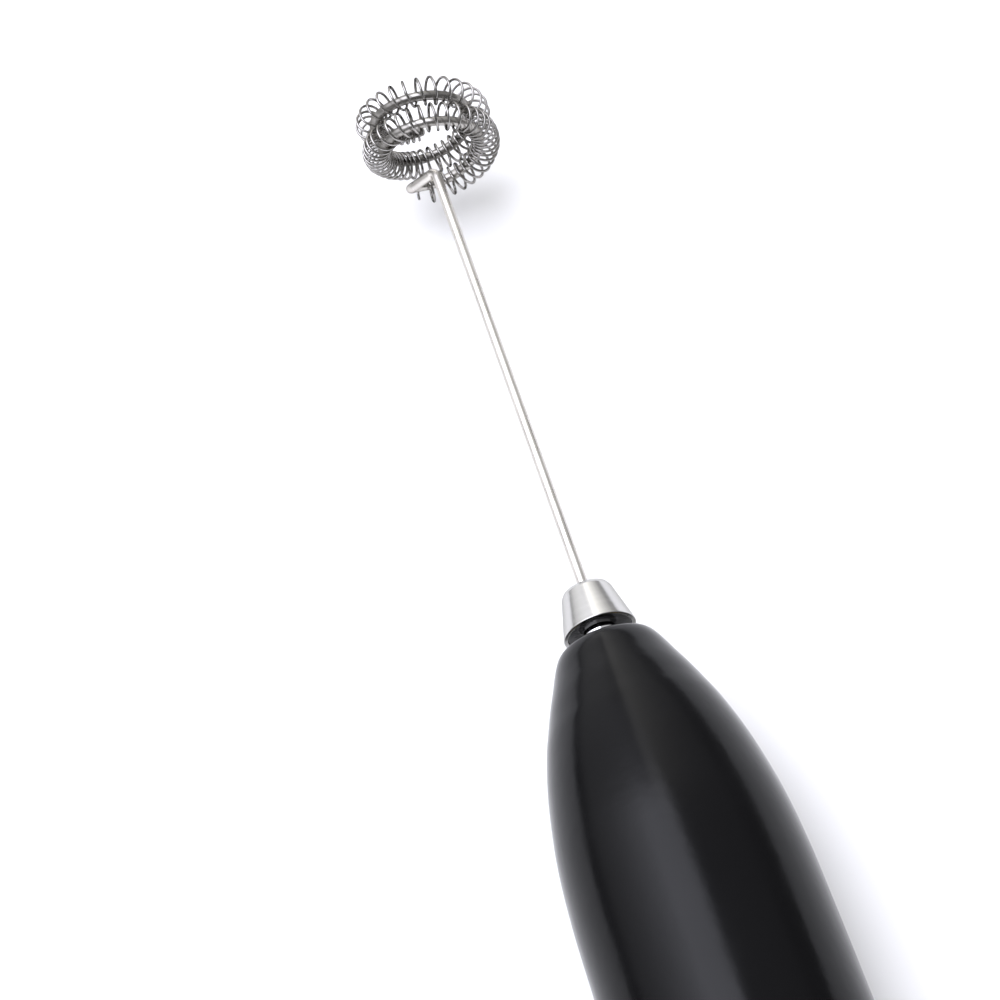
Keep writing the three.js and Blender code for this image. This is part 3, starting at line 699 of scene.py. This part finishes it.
# ------------------------------------------------------------------ drive spindle
spindle = [(1.15, -13.6), (2.9, -13.6), (3.12, -13.5), (3.2, -13.3), (3.2, -3.95), (3.05, -3.75), (2.8, -3.4), (2.75, -3.2), (2.75, -2.45), (2.78, -2.25),
           (3.18, -0.68), (3.2, -0.6), (3.17, -0.54), (3.1, -0.5), (0, -0.5)]
body_v = revolve(spindle + [(0, -5.0), (1.15, -5.0)], 96)
hexagon = [(4.2 / math.sqrt(3) * math.cos(math.radians(60 * i + 30)), 4.2 / math.sqrt(3) * math.sin(math.radians(60 * i + 30))) for i in range(6)]
piece("spindle_fine", *merge(body_v), "drive", "chrome", None or ["drive_spindle"], "spindle_chrome", 30)
piece("spindle_hex_tip", *prism(hexagon, -0.48, 4.8, 0.25), "drive", "chrome", (), "spindle_chrome", 30)

# ------------------------------------------------------------------ cells, contacts and the cap's insert
CELL_R, CELL_X, CELL_FRONT, CELL_LEN = 7.1, 7.6, -49.6, 50.5


def cell(name, side, nub_front, node_name):
    f, b = CELL_FRONT, CELL_FRONT - CELL_LEN
    sleeve = fillet([(5.9, -1.3), (7.1, -1.3), (7.1, -CELL_LEN), (6.3, -CELL_LEN), (6.3, -CELL_LEN + 0.5), (5.9, -1.9)], [0.1, 0.35, 0.35, 0.1, 0.05, 0.1], 5, closed=True)
    can = fillet([(0, 0), (2.6, 0), (2.75, -1.55), (6.0, -1.55), (6.25, -1.8), (6.25, -CELL_LEN + 0.15), (2.9, -CELL_LEN + 0.15), (2.7, -CELL_LEN + 0.3), (0, -CELL_LEN + 0.3)],
                 [0, 0.3, 0.15, 0.1, 0.1, 0.2, 0.05, 0.05, 0], 5)
    turn = (lambda p: [(r, f + y) for r, y in p]) if nub_front else (lambda p: [(r, b - y) for r, y in p])
    x = side * CELL_X
    piece(name + "_sleeve", *revolve(turn(sleeve), 72, (x, 0)), "handle", "cell", [node_name], "cell_jacket", 40)
    piece(name + "_can", *revolve(turn(can), 56, (x, 0)), "handle", "cell_end", (), None, 40)


cell("cell_left", -1, False, "battery_left")
cell("cell_right", 1, True, "battery_right")


def rounded(x0, x1, z0, z1, r=0.6, n=5):
    out = []
    for cx, cz, a0 in ((x1 - r, z1 - r, 0), (x0 + r, z1 - r, 90), (x0 + r, z0 + r, 180), (x1 - r, z0 + r, 270)):
        for k in range(n + 1):
            a = math.radians(a0 + 90 * k / n)
            out.append((cx + r * math.cos(a), cz + r * math.sin(a)))
    return out


def cone_spring(r0, r1, y0, y1, turns, x, wire_r=0.25):
    pts = []
    flat = 1.0
    n = int((turns + flat) * 28)
    for i in range(n + 1):
        q = i / 28
        t = max(0.0, q - flat) / turns
        a = 2 * math.pi * q
        r = r0 + (r1 - r0) * t
        pts.append((x + r * math.cos(a), y0 + (y1 - y0) * t, r * math.sin(a)))
    return sweep(pts, wire_r, 10)


piece("front_spring_leaf", *merge(prism(rounded(-12.4, -3.4, -4, 4), -47.8, -47.35, 0.08), cone_spring(3.4, 1.6, -47.95, -49.25, 2.25, -CELL_X)),
      "handle", "nickel", ["front_spring_contact"], "nickel_steel", 35)
piece("front_plate_leaf", *merge(prism(rounded(3.4, 12.4, -4, 4), -47.8, -47.35, 0.08),
                                 revolve([(0, -47.6), (2.8, -47.6), (2.75, -47.85), (2.3, -48.4), (1.7, -49.0), (1.2, -49.25), (0.6, -49.33), (0, -49.35)], 48, (CELL_X, 0))),
      "handle", "nickel", ["front_plate_contact"], "nickel_steel", 35)
piece("cap_spring_leaf", *merge(prism(rounded(4.6, 12.2, -3.6, 3.6), -103.4, -103.0, 0.08), cone_spring(3.3, 1.6, -102.8, -100.5, 2.75, CELL_X)),
      "tail_cap", "nickel", ["cap_spring_contact"], "nickel_steel", 35)
piece("cap_plate_leaf", *merge(prism(rounded(-12.2, -4.6, -3.6, 3.6), -103.4, -103.0, 0.08),
                               revolve([(0, -100.35), (0.7, -100.37), (1.4, -100.5), (1.8, -100.75), (2.2, -101.4), (2.6, -102.4), (3.0, -103.2), (0, -103.2)], 48, (-CELL_X, 0))),
      "tail_cap", "nickel", ["cap_plate_contact"], "nickel_steel", 35)

insert = fillet([(17.25, -75.0), (17.25, -76.8), (15.95, -76.8), (15.95, -78.6), (17.25, -78.6), (17.25, -92.0), (16.95, -96.0), (16.3, -100.0),
                 (14.8, -103.6), (14.0, -105.4), (0, -105.4), (0, -103.6), (13.6, -103.6), (15.3, -100.9), (15.4, -92.0), (15.4, -75.0)],
                [0.3, 0.1, 0.1, 0.1, 0.1, 0, 0, 0, 0, 0.2, 0, 0, 1.2, 0.4, 0, 0.15], 5, closed=True)
piece("cap_liner", *revolve(insert, 144), "tail_cap", "black_plastic", ["cap_insert"], "black_plastic", 40)
piece("cap_seal", *revolve([(16.66 + 0.6 * math.cos(a), -77.7 + 0.6 * math.sin(a)) for a in np.linspace(0, 2 * math.pi, 17)[:-1]], 144),
      "tail_cap", "rubber", ["cap_o_ring"], "black_rubber", 60)


def screw(name, body, z, head_y, up, node_name, tip_y):
    """Pan head with a round recess; up is the way the head faces along the axis."""
    segs, verts, faces = 48, [], []
    prof = [(0.0, -0.55), (1.25, -0.5), (1.55, -0.02), (1.9, 0.0), (2.25, -0.25), (2.4, -0.7), (2.4, -1.35), (1.05, -1.38)]
    shank = [(r, head_y + up * y) for r, y in prof] + [(1.05, tip_y + up * 0.9), (0.0, tip_y)]
    piece(name, *revolve(shank, segs, (0, z)), body, "nickel", [node_name], "nickel_steel", 35)


screw("chassis_screw_top", "handle", 14.4, -48.6, -1, "chassis_screw_1", -41.4)
screw("chassis_screw_base", "handle", -14.4, -48.6, -1, "chassis_screw_2", -41.4)
screw("cap_screw_top", "tail_cap", 10.2, -101.9, 1, "cap_screw_1", -109.3)
screw("cap_screw_base", "tail_cap", -10.2, -101.9, 1, "cap_screw_2", -109.3)

# spring between the cap's insert and the button, drawn at rest; the real one shortens by the button's travel
turns = 4.0
coil_pts = [(5.4 * math.cos(2 * math.pi * turns * t), -105.8 - 6.15 * t, 5.4 * math.sin(2 * math.pi * turns * t)) for t in np.linspace(0, 1, 145)]
return_spring = piece("return_spring", *sweep(coil_pts, 0.28, 10), "button", "nickel", ["button_spring"], "nickel_steel", 60)
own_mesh(return_spring)

# CAD nodes that stay get their materials
KEEP = {
    "motor_shaft": "motor_steel", "rotor_core": "motor_steel", "motor_can": "motor_steel",
    "rotor_winding_1": "winding", "rotor_winding_2": "winding", "rotor_winding_3": "winding", "commutator": "copper",
    "thrust_washer": "natural", "nose_bush": "brass", "nose_seal": "rubber", "motor_end_cap": "natural",
    "magnet_upper": "ferrite", "magnet_lower": "ferrite", "front_bearing": "brass", "rear_bearing": "brass",
    "brush_left": "carbon", "brush_right": "carbon", "motor_terminal_left": "brass", "motor_terminal_right": "brass",
    "motor_sleeve": "rubber", "chassis": "natural", 
    "lead_red": "red", "lead_black": "black",
    
    "switch_post_left": "brass", "switch_post_right": "brass",
    "contact_disc": "brass",
}
for n, key in KEEP.items():
    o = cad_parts[n]
    o.data.materials.clear()
    o.data.materials.append(M[key])

# ------------------------------------------------------------------ floor
floor_mesh = bpy.data.meshes.new("floor")
S = 6.0
floor_mesh.from_pydata([(-S, -S, 0), (S, -S, 0), (S, S, 0), (-S, S, 0)], [], [(0, 1, 2, 3)])
floor = bpy.data.objects.new("floor", floor_mesh)
scene.collection.objects.link(floor)
fmat, fnt, fb = new_material("floor_white", (0.84, 0.84, 0.84), 0.9, spec=0.1)
floor_mesh.materials.append(fmat)
